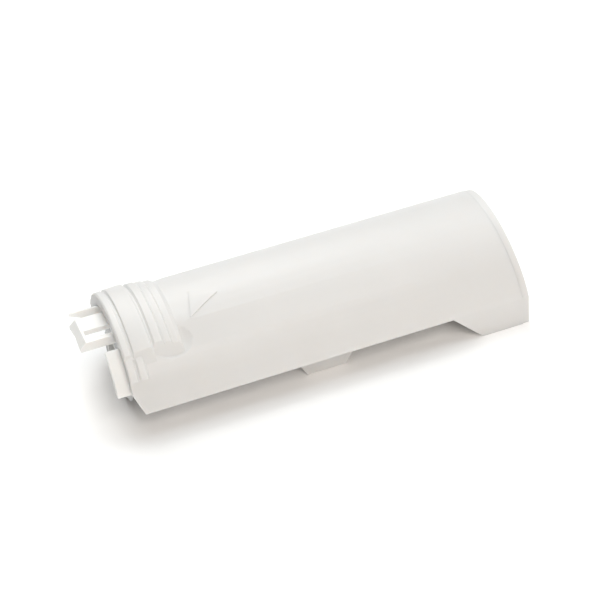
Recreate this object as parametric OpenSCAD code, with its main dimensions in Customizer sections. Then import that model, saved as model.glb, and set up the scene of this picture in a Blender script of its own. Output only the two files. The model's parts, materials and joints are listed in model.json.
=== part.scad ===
// Stick-type hand shower, lying on its open thumb side.
// The tube axis is X, hose end at -X, spray end at +X, closed back of the handle up.
// The shell is a half tube, with straight skirts below its axis at the spray end.

/* [Body] */
// Outer radius of the tubular handle
body_r = 20; // [17:0.5:24]
// Wall thickness of the handle tube
wall = 2; // [1.5:0.1:3]
// Distance from the hose-end face to the spray-end rim, on the axis
body_len = 107.8; // [95:0.1:125]
// Lean of the upper half of the spray-end rim from square, in degrees
rim_lean = 9.1; // [0:0.1:15]
// Where the open thumb side ends and the slanted start of the skirts begins
open_len = 87.7; // [70:0.1:90]
// Depth of the skirts below the axis, down to the plane the handle rests on
rest_drop = 8.4; // [8.3:0.1:10]

/* [Neck] */
// Radius over the widest neck band
neck_r = 21.4; // [20.5:0.1:23]
// Half angle of the neck ribs nearest the spray end, from straight up, in degrees
rib_half_angle = 38; // [20:1:50]
// Half angle of the wide ribs nearest the hose end, in degrees
band_half_angle = 42; // [35:1:55]
// Half angle of the narrow lower strip of the neck band, in degrees
strip_half_angle = 62; // [50:1:75]
// Depth of the finger dimple at each side of the neck
dimple_depth = 1.2; // [0.3:0.1:1.5]

/* [Hose end] */
// Outer radius of the G1/2 inlet thread, over the crests
thread_r = 10.48; // [10.3:0.01:10.6]
// Length of the inlet thread
thread_len = 11; // [8:0.5:14]
// How far the latch loop stands out of the hose end
loop_reach = 8.7; // [5:0.1:12]
// Width of the latch loop
loop_w = 10.6; // [8:0.1:13]
// How far the side tongues stand out of the hose end
tongue_reach = 3.5; // [1:0.1:6]

/* [Thumb button] */
// Travel of the thumb button and valve spool
press_travel = 2.5; // [2:0.1:2.6]
// Distance of the button centre from the hose-end face
button_x = 53.4; // [52:0.1:56]
// Length of the thumb bar along the handle, at its root
button_len = 15; // [12:0.2:16]
// Half width of the thumb bar across the handle
button_half_w = 14.5; // [12:0.1:16]

/* [Water way] */
// Height of the water way above the tube axis
water_z = 2.4; // [2.4:0.1:3]
// Bore radius of the inlet
inlet_bore_r = 6.5; // [5:0.1:7]
// Travel of the non-return poppet
poppet_travel = 2.5; // [1.5:0.1:3]
// Radius of one nozzle tip
nozzle_r = 0.9; // [0.6:0.05:1.2]

/* [Hidden] */
$fn = 96;
lean_k = tan(rim_lean);
bore_r = body_r - wall;
lip = 2.0;
lip_x = lip / cos(rim_lean);
x_low = -loop_reach;
x_high = body_len + lip_x;
x_mid = (x_low + x_high) / 2;
gap = 0.1;
face_r = 15.9;
ledge_x = 94;
face_low = -6.75;
boss_x = 27;
ear_x = 67;
rail_y = 11.8;
rail_z = [3.5, 6.9];
rings = [[0, 0], [4.4, 6], [8.6, 12], [12.6, 18]];

// ---- helpers -------------------------------------------------------------

// Puts tube coordinates (x from the hose-end face, z from the axis) in the part's frame.
module row() {
    translate([-x_mid, 0, rest_drop]) children();
}

// Moves things made about the tube axis up onto the axis of the water way.
module water() {
    translate([0, 0, water_z]) children();
}

// Everything above a level.
module above(z) {
    block([-20, -30, z], [130, 30, 30]);
}

// Solid of revolution about the tube axis from [radius, x] points.
module rev(pts) {
    rotate([0, 90, 0]) rotate_extrude() polygon(pts);
}

// Round bar along the tube axis.
module bar(r, x0, x1) {
    translate([x0, 0, 0]) rotate([0, 90, 0]) cylinder(r = r, h = x1 - x0);
}

// Ring of round section about the tube axis.
module o_ring_x(r_mid, r_cord, x) {
    translate([x, 0, 0]) rotate([0, 90, 0]) rotate_extrude()
        translate([r_mid, 0]) circle(r = r_cord, $fn = 32);
}

// Ring of round section about a vertical axis.
module o_ring_z(r_mid, r_cord, z) {
    translate([0, 0, z]) rotate_extrude() translate([r_mid, 0]) circle(r = r_cord, $fn = 32);
}

// Box from two corners.
module block(a, b) {
    translate(a) cube(b - a);
}

// Frame of the leaning spray-end rim, local X square to the rim.
module rim_frame() {
    translate([body_len, 0, 0]) rotate([0, -rim_lean, 0]) children();
}

// Everything behind a plane parallel to the rim, u in front of it.
module behind_rim(u) {
    rim_frame() block([-160, -40, -60], [u, 40, 60]);
}

// Bar with a round top half and straight sides down to the resting plane.
module arch_bar(r, x0, x1) {
    intersection() {
        bar(r, x0, x1);
        above(0);
    }
    block([x0, -r, -rest_drop], [x1, r, 0]);
}

// Everything behind the whole rim, leaning above the axis and square below it.
module behind_arch_rim(u) {
    intersection() {
        behind_rim(u);
        above(0);
    }
    block([-20, -30, -30], [body_len + u / cos(rim_lean), 30, 0]);
}

// Wedge about the tube axis, half_angle each side of straight up.
module top_wedge(half_angle, x0, x1) {
    far = 40;
    reach = far * tan(min(half_angle, 80));
    translate([x0, 0, 0]) rotate([90, 0, 90])
        linear_extrude(height = x1 - x0) polygon([[0, 0], [reach, far], [-reach, far]]);
}

// Like top_wedge, but its sides slope out, so that ribs cut by it run down into the shell.
module faded_wedge(half_angle, x0, x1) {
    high = neck_r * [sin(half_angle), cos(half_angle)];
    low = body_r * [sin(half_angle + 10), cos(half_angle + 10)];
    a = low - (high - low) * 0.8;
    b = low + (high - low) * 4;
    translate([x0, 0, 0]) rotate([90, 0, 90])
        linear_extrude(height = x1 - x0) polygon([a, b, [-b[0], b[1]], [-a[0], a[1]]]);
}

// Sector between two angles measured up from the horizontal on one side.
module side_wedge(a0, a1, x0, x1) {
    far = 45;
    translate([x0, 0, 0]) rotate([90, 0, 90])
        linear_extrude(height = x1 - x0)
            polygon([[0, 0], far * [cos(a0), sin(a0)], far * [cos(a1), sin(a1)]]);
}

// Coil of round wire about Z, built from tilted half turns, wire centre from 0 to h.
module coil(r_mid, r_wire, h, turns) {
    rise = h / turns / 2;
    tilt = asin(rise / 2 / r_mid);
    for (i = [0 : 2 * turns - 1])
        translate([0, 0, (i + 0.5) * rise]) rotate(180 * i) rotate([0, tilt, 0])
            rotate_extrude(angle = 180) translate([r_mid, 0]) circle(r = r_wire, $fn = 24);
}

// Cap screw with a round head and a cross recess, head up.
module pan_screw(r, length, head_r, head_h) {
    difference() {
        union() {
            translate([0, 0, -length]) cylinder(r = r, h = length);
            cylinder(r1 = head_r, r2 = head_r * 0.8, h = head_h);
        }
        translate([0, 0, head_h - 0.8]) for (a = [0, 90]) rotate(a)
            translate([-head_r * 0.55, -0.35, 0]) cube([head_r * 1.1, 0.7, 1]);
    }
}

// ---- handle shell ----------------------------------------------------------

module neck_ribs() {
    rev([[bore_r, 0], [neck_r - 0.5, 0], [neck_r - 0.15, 0.4], [neck_r - 0.15, 1.9],
        [neck_r - 0.7, 2.2], [neck_r - 0.7, 2.6], [neck_r, 2.9], [neck_r + 0.1, 7.5],
        [neck_r - 0.8, 7.9], [neck_r - 0.8, 8.3], [neck_r - 0.2, 8.8], [neck_r - 0.2, 10.6],
        [neck_r - 0.7, 11.1], [neck_r - 0.5, 11.6], [neck_r - 0.5, 12.8], [neck_r - 0.9, 13.2],
        [neck_r - 0.8, 13.6], [neck_r - 0.8, 14.8], [body_r, 15.8], [bore_r, 15.8]]);
}

module neck_strip() {
    rev([[bore_r, 0], [body_r + 0.7, 0], [body_r + 0.9, 0.3], [body_r + 0.9, 1.9],
        [body_r + 0.35, 2.3], [body_r + 0.35, 2.6], [body_r + 0.8, 3.0], [body_r + 0.8, 4.6],
        [body_r, 5.2], [bore_r, 5.2]]);
}

module back_arrow() {
    tip = [28.8, -4.7];
    intersection() {
        linear_extrude(height = 30) polygon([tip, [19.9, -9.5], [21.9, -1.9]]);
        bar(body_r + 0.3, 15, 35);
    }
}

module finger_dimple(side) {
    ball_r = 14;
    off = body_r - dimple_depth + ball_r;
    translate([13.3, side * off * cos(49), off * sin(49)]) sphere(r = ball_r);
}

module skirts() {
    for (s = [-1, 1]) translate([0, s * (body_r - wall / 2) + wall / 2, 0]) rotate([90, 0, 0])
        linear_extrude(height = wall)
            polygon([[open_len, 0], [open_len + rest_drop, -rest_drop],
                [body_len, -rest_drop], [body_len, 0]]);
}

module shell_boss(x, y) {
    translate([x, y, 7]) cylinder(r = 3.2, h = 10);
}

module body_shell() {
    color([0.93, 0.93, 0.92]) row() {
        difference() {
            union() {
                difference() {
                    intersection() {
                        bar(body_r, 0, 125);
                        behind_rim(0);
                        above(0);
                    }
                    for (s = [-1, 1]) finger_dimple(s);
                }
                intersection() {
                    neck_ribs();
                    union() {
                        faded_wedge(band_half_angle, -1, 8.1);
                        faded_wedge(rib_half_angle, 8, 20);
                    }
                }
                intersection() {
                    neck_strip();
                    top_wedge(strip_half_angle, -1, 20);
                }
                back_arrow();
                skirts();
            }
            difference() {
                bar(bore_r, -1, 130);
                difference() {
                    bar(bore_r + 1, ledge_x, ledge_x + 2);
                    bar(bore_r - 1.6, ledge_x - 1, ledge_x + 3);
                }
                intersection() {
                    bar(bore_r + 1, 0, 60);
                    union() for (s = [-1, 1]) shell_boss(boss_x, s * rail_y);
                }
            }
            for (s = [-1, 1]) translate([boss_x, s * rail_y, 0]) cylinder(r = 1.3, h = 14);
            block([-1, -30, -30], [open_len, 30, 0]);
            for (s = [-1, 1]) translate([0, s * 20, 0]) rotate([90, 0, 0])
                translate([0, 0, -5]) linear_extrude(height = 10)
                    polygon([[-1, 8.5], [2.3, 0], [2.3, -1], [-1, -1]]);
        }
    }
}

// ---- inner carrier ---------------------------------------------------------

module carrier_sleeve() {
    difference() {
        union() {
            intersection() {
                bar(bore_r - gap, 1.2, 14);
                side_wedge(12, 90, 0, 15);
            }
            intersection() {
                bar(bore_r - gap, 1.2, 14);
                side_wedge(90, 168, 0, 15);
            }
            for (s = [0, 1]) mirror([0, s, 0]) intersection() {
                bar(bore_r - gap, -tongue_reach, 2);
                side_wedge(17, 57, -tongue_reach - 1, 2);
            }
        }
        bar(bore_r - 2, -20, 11.4);
        water() bar(8.1, -20, 20);
    }
}

module latch_loop() {
    top_z = 16;
    difference() {
        translate([0, loop_w / 2, 0]) rotate([90, 0, 0]) linear_extrude(height = loop_w)
            polygon([[2, top_z], [-loop_reach + 1.7, top_z], [-loop_reach, top_z - 1.5],
                [-loop_reach, top_z - 2.5], [-loop_reach + 0.5, top_z - 3], [2, top_z - 3]]);
        block([-loop_reach + 2.4, -loop_w / 2 + 1.5, 0], [0.6, -0.4, 30]);
        water() bar(12.2, -20, 3);
    }
}

module latch_prong() {
    intersection() {
        difference() {
            bar(bore_r - gap, -7.6, 2);
            bar(bore_r - 2.6, -20, 3);
        }
        linear_extrude(height = 40)
            polygon([[2, 7.6], [-1, 7.6], [-7.6, 9.4], [-7.6, 10], [-1, 12.4], [2, 12.4]]);
        rotate([90, 0, 0]) translate([0, 0, -30]) linear_extrude(height = 60)
            polygon([[2, 12.5], [-1.5, 12.5], [-7.6, 14.3], [-7.6, 14.9], [-1.5, 16.6], [2, 16.6]]);
    }
}

module carrier_saddle(x) {
    intersection() {
        block([x, -rail_y - 1.5, 2], [x + 2.4, rail_y + 1.5, 13]);
        bar(bore_r - gap, x - 1, x + 4);
    }
}

module inner_carrier() {
    color([0.90, 0.90, 0.89]) row() difference() {
        union() {
            carrier_sleeve();
            latch_loop();
            latch_prong();
            water() bar(10.6, 11.4, 14);
            for (s = [-1, 1]) block([13, s * rail_y - 1.5, rail_z[0]], [73, s * rail_y + 1.5, rail_z[1]]);
            for (s = [-1, 1]) translate([boss_x, s * rail_y, rail_z[0]]) cylinder(r = 3.2, h = 3.4);
            for (s = [-1, 1]) translate([ear_x, s * rail_y, rail_z[0]]) cylinder(r = 2.9, h = 7);
            carrier_saddle(19);
            carrier_saddle(33.2);
        }
        water() {
            bar(8.1, 10, 40);
            bar(9.2, 15.5, 32);
            bar(10.1, 37, 90);
        }
        for (s = [-1, 1]) translate([boss_x, s * rail_y, 0]) cylinder(r = 1.5, h = 12);
        for (s = [-1, 1]) translate([ear_x, s * rail_y, 0]) cylinder(r = 1.3, h = 10.1);
    }
}

module carrier_screws() {
    color([0.72, 0.73, 0.74]) row() for (s = [-1, 1]) {
        translate([boss_x, s * rail_y, rail_z[0]]) rotate([180, 0, 0]) pan_screw(1.25, 9, 2.6, 1.6);
        translate([ear_x, s * rail_y, 1]) rotate([180, 0, 0]) pan_screw(1.25, 9, 2.6, 1.6);
    }
}

// ---- inlet -----------------------------------------------------------------

module inlet_nipple() {
    color([0.80, 0.81, 0.82]) row() water() {
        t0 = 0.5;
        t1 = t0 + thread_len - 1.1;
        rev([[inlet_bore_r, 3.2], [8.6, 3.2], [8.6, t0], [thread_r - 0.6, t0], [thread_r, t0 + 0.6],
            [thread_r, t1], [thread_r - 1.2, t1 + 0.2], [thread_r - 1.2, 11.4], [8, 11.4],
            [8, 25.2], [6.95, 25.2], [6.95, 27.2], [8, 27.2], [8, 29.6], [7.6, 30],
            [inlet_bore_r, 30]]);
    }
}

module inlet_washer() {
    color([0.86, 0.86, 0.84]) row() water() rev([[6.3, 0.7], [8.5, 0.7], [8.5, 2.7], [6.3, 2.7]]);
}

module inlet_strainer() {
    color([0.70, 0.71, 0.72]) row() water() difference() {
        bar(8.5, 2.7, 3.2);
        for (ring = [[0, 1], [1.7, 6], [3.3, 12], [4.9, 18]]) for (i = [1 : ring[1]])
            rotate([i * 360 / ring[1], 0, 0]) translate([0, ring[0], 0]) bar(0.55, 2, 4);
    }
}

module flow_limiter() {
    color([0.20, 0.45, 0.62]) row() water() difference() {
        union() {
            rev([[0, 6], [5.6, 6], [inlet_bore_r - gap, 6.6], [inlet_bore_r - gap, 7.3], [5.6, 7.3],
                [5.6, 8.9], [inlet_bore_r - gap, 8.9], [inlet_bore_r - gap, 10], [0, 10]]);
            bar(1.6, 4.6, 6);
        }
        for (i = [0 : 7]) rotate([i * 45, 0, 0]) translate([0, 3.6, 0]) bar(0.9, 5, 11);
    }
}

module limiter_o_ring() {
    color([0.10, 0.10, 0.10]) row() water() o_ring_x(5.62 + 0.78 / 2 + 0.02, 0.38, 8.1);
}

// ---- non-return valve --------------------------------------------------------

module check_cage() {
    color([0.86, 0.86, 0.80]) row() water() difference() {
        rev([[3.2, 13], [inlet_bore_r - gap, 13], [inlet_bore_r - gap, 26], [1.45, 26],
            [1.45, 24.4], [5.4, 24.4], [5.4, 14.6], [3.2, 14.6]]);
        for (i = [0 : 5]) rotate([i * 60 + 30, 0, 0]) translate([0, 3.6, 0]) bar(1.3, 24, 27);
    }
}

module check_seal() {
    color([0.10, 0.10, 0.10]) row() water() rev([[2.0, 14.65], [4.6, 14.65], [4.6, 15.4], [2.0, 15.4]]);
}

module check_poppet() {
    color([0.88, 0.88, 0.88]) row() water() rev([[0, 13.7], [1.9, 14.3], [1.9, 15.4], [4.6, 15.4],
        [4.6, 16.4], [2.2, 16.8], [1.4, 17.4], [1.4, 27], [0, 27]]);
}

module check_spring() {
    color([0.75, 0.76, 0.77]) row() water() translate([17.7, 0, 0]) rotate([0, 90, 0])
        coil(2.05, 0.22, 6.45, 5);
}

module nipple_o_ring() {
    color([0.10, 0.10, 0.10]) row() water() o_ring_x(7.5, 0.52, 26.2);
}

// ---- water tubes -------------------------------------------------------------

module supply_tube() {
    color([0.84, 0.85, 0.86]) row() water() rev([[8.06, 22], [9.1, 22], [9.1, 31.6], [8, 32.8],
        [8, 39.4], [7.1, 39.4], [7.1, 41.2], [8, 41.2], [8, 46], [6, 46], [6, 32],
        [6.5, 30.2], [8.06, 30.2]]);
}

module tube_o_rings() {
    color([0.10, 0.10, 0.10]) row() water() {
        o_ring_x(7.58, 0.45, 40.3);
        o_ring_x(7.58, 0.45, 78.3);
    }
}

module delivery_tube() {
    color([0.84, 0.85, 0.86]) row() water() rev([[5.5, 72.6], [8, 72.6], [8, 77.4], [7.1, 77.4],
        [7.1, 79.2], [8, 79.2], [8, 84.4], [5.5, 84.4]]);
}

// ---- pause valve ---------------------------------------------------------------

module valve_body() {
    color([0.86, 0.86, 0.84]) row() difference() {
        union() {
            water() bar(9.9, 38, 74.4);
            translate([button_x, 0, 2]) cylinder(r = 6.6, h = 12);
            block([ear_x - 3, -rail_y - 2.5, 1], [ear_x + 3, rail_y + 2.5, rail_z[0] - 0.05]);
        }
        water() {
            bar(8.06, 37, 46);
            bar(8.06, 72.6, 76);
            rev([[0, 45], [6, 45], [6, 45.2], [3.2, 47.2], [3.2, 48.7], [0, 48.7]]);
            rev([[0, 74], [5.5, 74], [5.5, 62.4], [3.2, 59.5], [3.2, 58], [0, 58]]);
            block([47.2, -3.2, -1.1], [59.6, 3.2, 1.1]);
        }
        translate([button_x, 0, -5]) cylinder(r = 4.05, h = 18);
        translate([button_x, 0, -8]) cylinder(r = 4.9, h = 6.6);
        translate([button_x, 0, 11]) cylinder(r = 4.9, h = 10);
        block([button_x - 9, -11, -12], [button_x + 9, 11, -3.6]);
        for (s = [-1, 1]) translate([ear_x, s * rail_y, 0]) cylinder(r = 1.5, h = 5);
        for (s = [-1, 1]) translate([ear_x, s * rail_y, -3]) cylinder(r = 2.8, h = 4);
    }
}

module gland_bush() {
    color([0.80, 0.80, 0.78]) row() translate([button_x, 0, -3.6]) difference() {
        cylinder(r = 4.85, h = 2.2);
        translate([0, 0, -1]) cylinder(r = 2.25, h = 5);
        for (a = [0, 180]) rotate(a) translate([3.6, 0, -1]) cylinder(r = 0.6, h = 2);
    }
}

module valve_plug() {
    color([0.80, 0.80, 0.78]) row() translate([button_x, 0, 0]) difference() {
        union() {
            translate([0, 0, 11.1]) cylinder(r = 4.8, h = 2.95);
            translate([0, 0, 14.05]) cylinder(r1 = 6, r2 = 5.6, h = 1.2);
        }
        translate([0, 0, 10]) cylinder(r = 3.3, h = 3.05);
        rotate_extrude() polygon([[4, 12], [6, 12], [6, 12.9], [4, 12.9]]);
        translate([0, 0, 14.2]) cylinder(r = 2.2, h = 3, $fn = 6);
    }
}

module plug_o_ring() {
    color([0.10, 0.10, 0.10]) row() translate([button_x, 0, 0]) o_ring_z(4.45, 0.43, 12.45);
}

module valve_stem() {
    color([0.90, 0.88, 0.80]) row() water() translate([button_x, 0, 0]) rotate_extrude() polygon([
        [0, -9.8], [2.2, -9.8], [2.2, -3.7], [4, -3.7], [4, -3.1], [3.1, -3.1], [3.1, -1.9],
        [4, -1.9], [4, -1.3], [2, -1.3], [2, 1.3], [4, 1.3], [4, 2.2], [3.1, 2.2], [3.1, 3.4],
        [4, 3.4], [4, 4.1], [3.6, 4.5], [0, 4.5]]);
}

module stem_seals() {
    color([0.10, 0.10, 0.10]) row() water() translate([button_x, 0, 0]) {
        o_ring_z(3.58, 0.45, -2.5);
        o_ring_z(3.58, 0.45, 2.8);
    }
}

module return_spring() {
    color([0.75, 0.76, 0.77]) row() translate([button_x, 0, 7.3]) coil(2.75, 0.3, 5.4, 4);
}

module thumb_button() {
    root_x = button_len / 2;
    low_x = root_x - 2.5;
    low = -rest_drop;
    w = button_half_w;
    color([0.92, 0.92, 0.91]) row() translate([button_x, 0, 0]) difference() {
        intersection() {
            translate([0, 30, 0]) rotate([90, 0, 0]) linear_extrude(height = 60)
                polygon([[-root_x, -3.4], [-root_x, -4.4], [-low_x - 0.6, low + 0.6], [-low_x, low],
                    [low_x, low], [low_x + 0.6, low + 0.6], [root_x, -4.4], [root_x, -3.4]]);
            rotate([90, 0, 90]) translate([0, 0, -30]) linear_extrude(height = 60)
                polygon([[-w + 0.4, -3.4], [-w, -3.8], [-w, low + 0.5], [-w + 0.5, low],
                    [w - 0.5, low], [w, low + 0.5], [w, -3.8], [w - 0.4, -3.4]]);
        }
        block([-20, -10, -6.4], [20, 10, 0]);
        translate([0, 0, -7.4]) cylinder(r = 2.2, h = 7);
    }
}

// ---- spray end --------------------------------------------------------------------

module spray_chamber() {
    color([0.86, 0.86, 0.84]) row() difference() {
        union() {
            water() bar(10, 76, 88);
            intersection() {
                rev([[0, 85], [9, 85], [16.2, ledge_x], [16.2, ledge_x + 2.1],
                    [bore_r - gap, ledge_x + 2.1], [bore_r - gap, ledge_x + 4.5],
                    [16.1, ledge_x + 4.5], [16.1, 125], [0, 125]]);
                behind_rim(-4.6);
                above(face_low - 0.05);
            }
        }
        water() bar(8.06, 75, 84.4);
        water() bar(5.5, 84, 88);
        intersection() {
            rev([[0, 86.4], [5.5, 86.4], [13.6, 94.2], [14.4, 95.6], [14.4, 130], [0, 130]]);
            above(-5.3);
        }
    }
}

module diffuser_plate() {
    color([0.82, 0.82, 0.80]) row() difference() {
        union() {
            intersection() {
                bar(14.3, 85, 125);
                rim_frame() block([-9.4, -30, -30], [-8, 30, 30]);
                above(-5.2);
            }
            rim_frame() bar(3, -9.4, -4.6);
        }
        for (ring = [[5.4, 8], [10.6, 14]]) for (i = [1 : ring[1]])
            if (ring[0] * sin(i * 360 / ring[1]) > -3.6)
                rim_frame() rotate([i * 360 / ring[1], 0, 0]) translate([0, ring[0], 0]) bar(1.2, -12, -5);
        rim_frame() bar(1.35, -20, 0);
    }
}

module at_nozzles() {
    for (ring = [rings[1], rings[2], rings[3]]) for (i = [1 : ring[1]])
        if (ring[0] * sin((i + 0.5) * 360 / ring[1]) > -4.6)
            rim_frame() rotate([(i + 0.5) * 360 / ring[1], 0, 0]) translate([0, ring[0], 0]) children();
}

module nozzle_mat() {
    color([0.55, 0.57, 0.60]) row() difference() {
        union() {
            intersection() {
                rim_frame() bar(15.6, -4.5, -2.7);
                above(face_low);
            }
            at_nozzles() rotate([0, 90, 0]) translate([0, 0, -3])
                cylinder(r1 = nozzle_r + 0.45, r2 = nozzle_r, h = 4);
        }
        at_nozzles() bar(0.45, -6, 3);
        rim_frame() bar(2.2, -6, 0);
    }
}

module nozzle_plate() {
    color([0.88, 0.88, 0.88]) row() difference() {
        intersection() {
            rim_frame() bar(face_r, -2.6, 0);
            above(face_low);
        }
        at_nozzles() bar(nozzle_r + 0.6, -4, 2);
        rim_frame() bar(1.7, -4, 2);
        rim_frame() bar(3.4, -1.2, 2);
    }
}

module face_screw() {
    color([0.72, 0.73, 0.74]) row() rim_frame() translate([-1.2, 0, 0]) rotate([0, 90, 0])
        pan_screw(1.25, 7.6, 3.1, 1.1);
}

module front_ring() {
    color([0.91, 0.91, 0.90]) row() difference() {
        intersection() {
            arch_bar(body_r - 0.15, ledge_x + 4.6, 125);
            behind_arch_rim(lip);
        }
        difference() {
            behind_arch_rim(0);
            arch_bar(bore_r - gap, 90, 130);
        }
        intersection() {
            bar(16.2, 90, 130);
            behind_rim(0.02);
            above(face_low - 0.15);
        }
        intersection() {
            rim_frame() rev([[0, -1], [14.7, -1], [14.7, 0.6], [15.6, lip + 0.1], [0, lip + 0.1]]);
            above(-6);
        }
    }
}

// ---- selection ------------------------------------------------------------------------

body_shell();
inner_carrier();
carrier_screws();
inlet_nipple();
inlet_washer();
inlet_strainer();
flow_limiter();
limiter_o_ring();
check_cage();
check_seal();
check_poppet();
check_spring();
nipple_o_ring();
supply_tube();
tube_o_rings();
valve_body();
gland_bush();
valve_plug();
plug_o_ring();
valve_stem();
stem_seals();
return_spring();
thumb_button();
delivery_tube();
spray_chamber();
diffuser_plate();
nozzle_mat();
nozzle_plate();
face_screw();
front_ring();
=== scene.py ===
"""Studio picture of a stick-type hand shower lying on its open thumb side."""

import json
import math

import bmesh
import bpy
from mathutils import Matrix, Vector


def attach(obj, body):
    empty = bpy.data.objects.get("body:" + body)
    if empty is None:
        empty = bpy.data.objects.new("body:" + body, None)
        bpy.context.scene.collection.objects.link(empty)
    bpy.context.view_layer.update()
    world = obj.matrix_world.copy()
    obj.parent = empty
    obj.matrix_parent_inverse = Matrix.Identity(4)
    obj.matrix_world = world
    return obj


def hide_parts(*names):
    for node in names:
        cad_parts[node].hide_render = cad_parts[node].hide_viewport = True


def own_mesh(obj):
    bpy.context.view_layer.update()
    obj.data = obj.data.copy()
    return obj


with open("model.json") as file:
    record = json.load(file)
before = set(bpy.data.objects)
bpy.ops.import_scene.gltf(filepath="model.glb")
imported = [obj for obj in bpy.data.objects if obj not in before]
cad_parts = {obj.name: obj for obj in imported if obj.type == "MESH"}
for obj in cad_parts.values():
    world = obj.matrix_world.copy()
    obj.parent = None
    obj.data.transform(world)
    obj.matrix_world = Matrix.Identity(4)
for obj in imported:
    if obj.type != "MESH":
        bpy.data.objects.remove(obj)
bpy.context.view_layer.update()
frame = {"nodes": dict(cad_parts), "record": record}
NODES = frame["nodes"]
MM = 0.001

# The tube's own coordinates: x from the hose-end face, z from its axis.
BODY_LEN = 107.8
LOOP_REACH = 8.7  # how far the latch loop stands out past the hose-end face
RING_LIP = 2.0  # how far the front ring stands out past the shell
LEAN = math.radians(9.1)  # the rim's lean at the spray end
REST_DROP = 8.4  # how far the skirts reach below the tube's axis
X_MID = (-LOOP_REACH + BODY_LEN + RING_LIP / math.cos(LEAN)) / 2
BUTTON_X = 53.4
WATER_Z = 2.4  # height of the water way above the tube's axis


def tube(x, y, z):
    """A point given in tube coordinates (mm), in the part's shared frame (m)."""
    return Vector((x - X_MID, y, z + REST_DROP)) * MM


# ---- materials -----------------------------------------------------------------------


class Graph:
    """A material's node tree, with short calls for the nodes used here."""

    def __init__(self, name):
        self.mat = bpy.data.materials.new(name)
        self.mat.use_nodes = True
        self.tree = self.mat.node_tree
        self.tree.nodes.clear()
        self.out = self.add("ShaderNodeOutputMaterial")
        self.bsdf = self.add("ShaderNodeBsdfPrincipled")
        self.link(self.bsdf.outputs["BSDF"], self.out.inputs["Surface"])
        self.coords = self.add("ShaderNodeTexCoord").outputs["Object"]

    def add(self, kind, **props):
        node = self.tree.nodes.new(kind)
        for key, value in props.items():
            setattr(node, key, value)
        return node

    def link(self, a, b):
        self.tree.links.new(a, b)

    def stretched(self, scale):
        """Coordinates scaled along each axis: a small scale draws noise out along that axis."""
        node = self.add("ShaderNodeMapping")
        node.inputs["Scale"].default_value = scale
        self.link(self.coords, node.inputs["Vector"])
        return node.outputs["Vector"]

    def noise(self, size_mm, detail=2.0, rough=0.5, vector=None):
        """Noise whose features are about size_mm across."""
        node = self.add("ShaderNodeTexNoise")
        node.inputs["Scale"].default_value = 1000.0 / size_mm
        node.inputs["Detail"].default_value = detail
        node.inputs["Roughness"].default_value = rough
        self.link(vector or self.coords, node.inputs["Vector"])
        return node.outputs["Fac"]

    def ramp(self, value, low, high, out_low, out_high):
        node = self.add("ShaderNodeMapRange")
        limits = {"From Min": low, "From Max": high, "To Min": out_low, "To Max": out_high}
        for key, number in limits.items():
            node.inputs[key].default_value = number
        self.link(value, node.inputs["Value"])
        return node.outputs["Result"]

    def math(self, operation, a, b):
        node = self.add("ShaderNodeMath", operation=operation)
        for socket, value in zip(node.inputs, (a, b)):
            if isinstance(value, (int, float)):
                socket.default_value = value
            else:
                self.link(value, socket)
        return node.outputs["Value"]

    def mix(self, factor, a, b):
        node = self.add("ShaderNodeMix", data_type="RGBA")
        self.link(factor, node.inputs["Factor"])
        for key, value in (("A", a), ("B", b)):
            socket = next(s for s in node.inputs if s.name == key and s.type == "RGBA")
            if isinstance(value, tuple):
                socket.default_value = (*value, 1.0)
            else:
                self.link(value, socket)
        return next(s for s in node.outputs if s.type == "RGBA")

    def bump(self, height, distance_mm):
        """Relief added on top of any bump already linked to the shader."""
        node = self.add("ShaderNodeBump")
        node.inputs["Strength"].default_value = 1.0
        node.inputs["Distance"].default_value = distance_mm * MM
        self.link(height, node.inputs["Height"])
        if self.bsdf.inputs["Normal"].links:
            self.link(self.bsdf.inputs["Normal"].links[0].from_socket, node.inputs["Normal"])
        self.link(node.outputs["Normal"], self.bsdf.inputs["Normal"])

    def set(self, **values):
        """Constants on the shader's own sockets, named with _ for a space."""
        for key, value in values.items():
            socket = self.bsdf.inputs[key.replace("_", " ")]
            socket.default_value = (*value, 1.0) if key == "Base_Color" else value


def shade(colour, factor):
    return tuple(min(1.0, c * factor) for c in colour)


def moulded(name, colour, rough, grain_mm=0.35, grain_depth=0.006, cloud=0.985, flow=0.5,
            through=0.0, depth=0.0012):
    """Injection-moulded plastic: spark-eroded satin grain, faint flow marks and clouding.

    grain_mm and grain_depth are the grain's size and height in mm, cloud is how far the colour
    darkens in the clouds, flow is the strength of the flow marks, and through and depth say how
    much light goes into the plastic and how far, in metres.
    """
    g = Graph(name)
    g.set(
        IOR=1.5,
        Subsurface_Weight=through,
        Subsurface_Scale=depth,
        Subsurface_Radius=(1.0, 0.88, 0.78),
    )
    clouds = g.noise(14, 4, 0.6)
    streaks = g.noise(9, 3, 0.6, g.stretched((0.12, 1.0, 1.0)))
    grain = g.noise(grain_mm, 3, 0.6)
    specks = g.noise(1.6, 2, 0.5)
    tone = g.math("ADD", g.math("MULTIPLY", clouds, 0.7), g.math("MULTIPLY", streaks, 0.3))
    cloudy = g.mix(g.ramp(tone, 0.35, 0.65, 0, 1), shade(colour, cloud), shade(colour, 1.005))
    g.link(cloudy, g.bsdf.inputs["Base Color"])
    worn = g.math("ADD", g.math("MULTIPLY", grain, 0.6), g.math("MULTIPLY", specks, 0.4))
    g.link(g.ramp(worn, 0.3, 0.7, rough - 0.06, rough + 0.07), g.bsdf.inputs["Roughness"])
    g.bump(streaks, 0.02 * flow)
    g.bump(specks, grain_depth * 1.5)
    g.bump(grain, grain_depth)
    return g.mat


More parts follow.
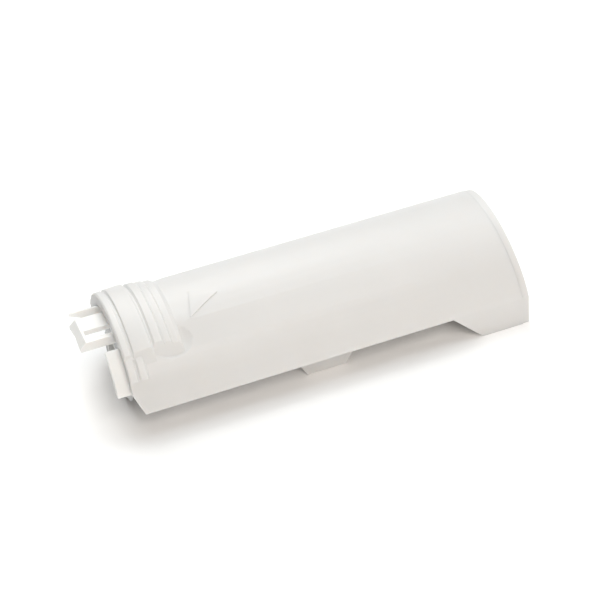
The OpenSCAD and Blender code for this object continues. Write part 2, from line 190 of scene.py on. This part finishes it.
def rubber(name, colour, rough=0.62):
    """Moulded rubber: dull, with bloom and a fine pitted skin."""
    g = Graph(name)
    g.set(IOR=1.52, Sheen_Weight=0.05, Sheen_Roughness=0.5)
    bloom = g.noise(2.5, 4, 0.65)
    pits = g.noise(0.16, 2, 0.5)
    bloomed = g.mix(g.ramp(bloom, 0.4, 0.7, 0, 1), colour, shade(colour, 1.5))
    g.link(bloomed, g.bsdf.inputs["Base Color"])
    g.link(g.ramp(bloom, 0.3, 0.7, rough - 0.1, rough + 0.12), g.bsdf.inputs["Roughness"])
    g.bump(pits, 0.006)
    return g.mat


def silicone(name, colour):
    """Silicone rubber: translucent and soft, with pale cloudy patches of dust."""
    g = Graph(name)
    g.set(
        IOR=1.41,
        Subsurface_Weight=0.25,
        Subsurface_Scale=0.0015,
        Subsurface_Radius=(1.0, 1.0, 1.0),
    )
    dust = g.noise(1.2, 4, 0.6)
    skin = g.noise(0.22, 2, 0.5)
    dusty = g.mix(g.ramp(dust, 0.42, 0.68, 0, 1), colour, shade(colour, 1.18))
    g.link(dusty, g.bsdf.inputs["Base Color"])
    g.link(g.ramp(dust, 0.3, 0.7, 0.42, 0.62), g.bsdf.inputs["Roughness"])
    g.bump(skin, 0.005)
    return g.mat


def steel(name, colour, grain_scale, rough=0.28):
    """Stainless steel with fine drawn or brushed lines along one direction."""
    g = Graph(name)
    g.set(Metallic=1.0)
    lines = g.noise(0.5, 3, 0.7, g.stretched(grain_scale))
    smut = g.noise(1.5, 4, 0.6)
    smutty = g.mix(g.ramp(smut, 0.35, 0.7, 0, 1), colour, shade(colour, 0.86))
    g.link(smutty, g.bsdf.inputs["Base Color"])
    g.link(g.ramp(lines, 0.3, 0.7, rough - 0.08, rough + 0.12), g.bsdf.inputs["Roughness"])
    g.bump(lines, 0.004)
    return g.mat


SHELL = (0.66, 0.657, 0.65)
SWEEP = 1.0  # brightness of the floor's paper
MATERIALS = {
    "shell_white": moulded("shell_white", SHELL, 0.5, through=0.5, depth=0.002),
    "carrier_white": moulded("carrier_white", (0.78, 0.78, 0.77), 0.46, 0.3, 0.004, flow=0.7,
                             through=0.4, depth=0.002),
    "plate_white": moulded("plate_white", (0.76, 0.76, 0.76), 0.4, 0.5, 0.004),
    "nipple_grey": moulded("nipple_grey", (0.60, 0.61, 0.62), 0.3, 0.4, 0.002, flow=1.0),
    "tube_grey": moulded("tube_grey", (0.62, 0.63, 0.64), 0.32, 0.4, 0.002, through=0.25),
    "valve_grey": moulded("valve_grey", (0.66, 0.66, 0.64), 0.45),
    "chamber_grey": moulded("chamber_grey", (0.66, 0.66, 0.64), 0.48),
    "valve_ivory": moulded("valve_ivory", (0.70, 0.69, 0.62), 0.4, 0.3, 0.003),
    "stem_white": moulded("stem_white", (0.76, 0.73, 0.62), 0.24, 0.4, 0.0015, through=0.1),
    "limiter_blue": moulded("limiter_blue", (0.05, 0.20, 0.36), 0.42, 0.3, 0.004, cloud=0.85),
    "seal_black": rubber("seal_black", (0.016, 0.016, 0.017)),
    "nozzle_silicone": silicone("nozzle_silicone", (0.30, 0.32, 0.35)),
    "washer_white": silicone("washer_white", (0.66, 0.66, 0.64)),
    "screw_steel": steel("screw_steel", (0.55, 0.56, 0.57), (1.0, 1.0, 0.1)),
    "strainer_steel": steel("strainer_steel", (0.52, 0.53, 0.54), (1.0, 0.06, 1.0), 0.32),
    "spring_steel": steel("spring_steel", (0.56, 0.57, 0.58), (0.3, 0.3, 1.0), 0.22),
}
SLOTS = {s["node"]: s["material_slot"] for s in frame["record"]["subparts"]}


def dress(obj, slot):
    obj.data.materials.clear()
    obj.data.materials.append(MATERIALS[slot])


for name, obj in NODES.items():
    dress(obj, SLOTS[name])

# ---- pieces made here ----------------------------------------------------------------

SHARP_ANGLE = math.radians(38)


def piece(name, verts, faces, slot):
    """A new mesh from points in tube coordinates (mm), smooth apart from its sharp edges."""
    mesh = bpy.data.meshes.new(name)
    mesh.from_pydata([tube(*v) for v in verts], [], faces)
    bm = bmesh.new()
    bm.from_mesh(mesh)
    bmesh.ops.recalc_face_normals(bm, faces=bm.faces)
    bm.to_mesh(mesh)
    bm.free()
    mesh.polygons.foreach_set("use_smooth", [True] * len(mesh.polygons))
    mesh.set_sharp_from_angle(angle=SHARP_ANGLE)
    obj = bpy.data.objects.new(name, mesh)
    bpy.context.scene.collection.objects.link(obj)
    dress(obj, slot)
    return obj


def helix_wire(path, wire_r, axis, around=14):
    """Round wire swept along a list of points, its section kept square to the path."""
    points = [Vector(p) for p in path]
    axis = Vector(axis)
    verts, faces = [], []
    for i, p in enumerate(points):
        ahead = points[min(i + 1, len(points) - 1)] - points[max(i - 1, 0)]
        side = ahead.cross(axis).normalized()
        up = side.cross(ahead).normalized()
        for k in range(around):
            a = 2 * math.pi * k / around
            verts.append(p + wire_r * (math.cos(a) * side + math.sin(a) * up))
    for i in range(len(points) - 1):
        for k in range(around):
            a, b = i * around + k, i * around + (k + 1) % around
            faces.append((a, b, b + around, a + around))
    faces.append(tuple(range(around)))
    faces.append(tuple(range(len(verts) - around, len(verts))))
    return verts, faces


def spring_path(r, wire_r, low, high, turns, flat=0.75, steps=40):
    """Centre line of a compression spring with closed end coils, as (x, y, height)."""
    close = 2 * wire_r * flat
    climb = high - low - 2 * close
    path = []
    for i in range(int((turns + 2 * flat) * steps) + 1):
        t = i / steps
        ends = min(t / flat, 1.0) + max(0.0, (t - flat - turns) / flat)
        height = low + close * ends + climb * min(max((t - flat) / turns, 0.0), 1.0)
        path.append((r * math.cos(2 * math.pi * t), r * math.sin(2 * math.pi * t), height))
    return path


def return_spring():
    """Helix above the valve spool, held at its top; pressed, it keeps 0.583 of its length."""
    coil_r, wire_r, low, high, turns = 2.75, 0.3, 7.3, 12.7, 4
    path = [(BUTTON_X + x, y, z) for x, y, z in spring_path(coil_r, wire_r, low, high, turns)]
    obj = piece("return_spring_wire", *helix_wire(path, wire_r, (0, 0, 1)), "spring_steel")
    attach(obj, "handle")
    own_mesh(obj)
    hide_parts("return_spring")


def check_spring():
    """Helix behind the poppet, held at the cage; open, it keeps 0.63 of its length."""
    coil_r, wire_r, low, high, turns = 2.05, 0.22, 17.7, 24.15, 5
    path = [(h, x, y + WATER_Z) for x, y, h in spring_path(coil_r, wire_r, low, high, turns)]
    obj = piece("check_spring_wire", *helix_wire(path, wire_r, (1, 0, 0)), "spring_steel")
    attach(obj, "handle")
    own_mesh(obj)
    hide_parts("check_spring")


def threaded_inlet():
    """The inlet with its real G1/2 helix: 14 threads to the inch, rounded crests and roots."""
    crest, pitch, depth, flatten = 10.46, 1.814, 1.16, 1.25
    start, end = 0.5, 10.4
    fade_in, fade_out = 1.2, 1.6
    chamfer, chamfer_slope = 0.55, 0.66
    around, steps_per_turn = 96, 12
    # Points (x, radius) of the plain parts, before the thread and after it.
    mouth = ((3.2, 6.5), (3.2, 8.6), (0.62, 8.6), (0.5, 8.75), (0.5, 9.0))
    tail = ((11.3, 9.3), (11.4, 9.2), (11.4, 8.1), (11.5, 8.0), (25.2, 8.0), (25.2, 6.95),
            (27.2, 6.95), (27.2, 8.0), (29.6, 8.0), (30.0, 7.6), (30.0, 6.6), (29.9, 6.5),
            (3.3, 6.5))

    def ring(x, radius):
        """One ring of points at x, where radius(k) is the radius at step k around."""
        row = []
        for k in range(around):
            a = 2 * math.pi * k / around
            row.append((x, radius(k) * math.cos(a), WATER_Z + radius(k) * math.sin(a)))
        return row

    def thread(x):
        def radius(k):
            phase = ((x - start) / pitch - k / around) % 1.0
            wave = 0.5 + 0.5 * math.cos(2 * math.pi * phase)
            sharp = min(1.0, max(0.0, 0.5 + (wave - 0.5) * flatten))
            fade = min(1.0, (x - start) / fade_in, (end - x) / fade_out)
            taper = max(0.0, chamfer - (x - start)) * chamfer_slope
            return crest - depth + depth * sharp * max(0.0, fade) - taper
        return radius

    def plain(r):
        return lambda k: r

    n = int((end - start) / pitch * steps_per_turn)
    rows = [ring(x, plain(r)) for x, r in mouth]
    for i in range(n + 1):
        x = start + (end - start) * i / n
        rows.append(ring(x, thread(x)))
    rows += [ring(x, plain(r)) for x, r in tail]
    verts = [v for row in rows for v in row]
    faces = []
    for i in range(len(rows)):
        j = (i + 1) % len(rows)
        for k in range(around):
            m = (k + 1) % around
            faces.append((i * around + k, i * around + m, j * around + m, j * around + k))
    obj = piece("inlet_thread", verts, faces, "nipple_grey")
    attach(obj, "handle")
    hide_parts("inlet_nipple")


# Widths in mm of the small moulded radii, and the angle past which an edge gets one.
SOFT_EDGES = {"body_shell": 0.4, "front_ring": 0.25, "inner_carrier": 0.25, "thumb_button": 0.4}
SOFT_ANGLE = math.radians(28)
WELD_DISTANCE = 0.00002


def soften(name, width):
    """Small moulded radii on a CAD piece's edges, after its faces are joined."""
    obj = NODES[name]
    weld = obj.modifiers.new("join_faces", "WELD")
    weld.merge_threshold = WELD_DISTANCE
    bevel = obj.modifiers.new("edge_radius", "BEVEL")
    bevel.width = width * MM
    bevel.segments = 3
    bevel.limit_method = "ANGLE"
    bevel.angle_limit = SOFT_ANGLE
    bevel.use_clamp_overlap = True
    bevel.harden_normals = True


# ---- studio --------------------------------------------------------------------------


def studio_floor():
    mesh = bpy.data.meshes.new("studio_floor")
    bm = bmesh.new()
    bmesh.ops.create_grid(bm, x_segments=8, y_segments=8, size=3.0)
    bm.to_mesh(mesh)
    bm.free()
    obj = bpy.data.objects.new("studio_floor", mesh)
    bpy.context.scene.collection.objects.link(obj)
    g = Graph("studio_sweep")
    paper = g.add("ShaderNodeBsdfDiffuse")
    g.link(g.ramp(g.noise(1.2, 3, 0.6), 0, 1, SWEEP - 0.01, SWEEP + 0.01), paper.inputs["Color"])
    g.link(paper.outputs["BSDF"], g.out.inputs["Surface"])
    obj.data.materials.append(g.mat)


def direction(bearing, height):
    """Unit vector at a bearing from the near side and a height above the floor, in radians."""
    return Vector((
        math.sin(bearing) * math.cos(height),
        -math.cos(bearing) * math.cos(height),
        math.sin(height),
    ))


def soft_box(name, place, aim, size, watts, tint):
    """A square soft light at place, turned towards aim."""
    data = bpy.data.lights.new(name, "AREA")
    data.shape = "RECTANGLE"
    data.size, data.size_y = size
    data.energy = watts
    data.color = tint
    obj = bpy.data.objects.new(name, data)
    bpy.context.scene.collection.objects.link(obj)
    obj.location = place
    obj.rotation_mode = "QUATERNION"
    obj.rotation_quaternion = (Vector(aim) - Vector(place)).to_track_quat("-Z", "Y")


def studio_camera():
    """A long lens looking down on the closed back from the near side, rolled a little."""
    elevation, azimuth, roll = (math.radians(a) for a in (37.7413, -17.6148, 5.5973))
    aim_x, aim_y, distance = 48.2616, 18.6694, 521.3315
    back = direction(azimuth, elevation)
    right = Vector((math.cos(azimuth), math.sin(azimuth), 0))
    up = back.cross(right)
    c, s = math.cos(roll), math.sin(roll)
    cam_x, cam_y = c * right - s * up, s * right + c * up
    data = bpy.data.cameras.new("studio_camera")
    data.lens, data.sensor_width = 120.0, 36.0
    data.clip_start, data.clip_end = 0.02, 20.0
    obj = bpy.data.objects.new("studio_camera", data)
    bpy.context.scene.collection.objects.link(obj)
    place = aim_x * cam_x + aim_y * cam_y + distance * back
    axes = Matrix((cam_x, cam_y, back)).transposed().to_4x4()
    obj.matrix_world = Matrix.Translation(tube(*place)) @ axes
    bpy.context.scene.camera = obj


BOX_DISTANCE = 0.9
BOX_SIZE = (0.6, 0.6)
BOX_AIM = (0, 0, 0.02)
AMBIENT = 0.1
# Name, bearing from the near side and height in degrees, watts, colour.
SOFT_BOXES = [
    ("low_front_box", 0, 40, 5.3, (1.0, 0.925, 0.85)),
    ("top_box", 0, 89.9, 1.9, (0.80, 0.92, 1.0)),
    ("back_box", 180, 60, 3.9, (0.97, 1.0, 0.99)),
    ("low_back_box", 180, 40, 2.3, (1.0, 0.92, 0.87)),
    ("spray_end_box", 90, 45, 1.9, (1.0, 0.98, 0.97)),
]


def studio_light():
    world = bpy.data.worlds.new("studio_world")
    bpy.context.scene.world = world
    world.use_nodes = True
    world.node_tree.nodes["Background"].inputs["Color"].default_value = (1, 1, 1, 1)
    world.node_tree.nodes["Background"].inputs["Strength"].default_value = AMBIENT
    for name, bearing, height, watts, tint in SOFT_BOXES:
        toward = direction(math.radians(bearing), math.radians(height))
        soft_box(name, BOX_DISTANCE * toward, BOX_AIM, BOX_SIZE, watts, tint)


for name, width in SOFT_EDGES.items():
    soften(name, width)
return_spring()
check_spring()
threaded_inlet()
studio_floor()
studio_camera()
studio_light()
bpy.context.scene.view_settings.view_transform = "Standard"
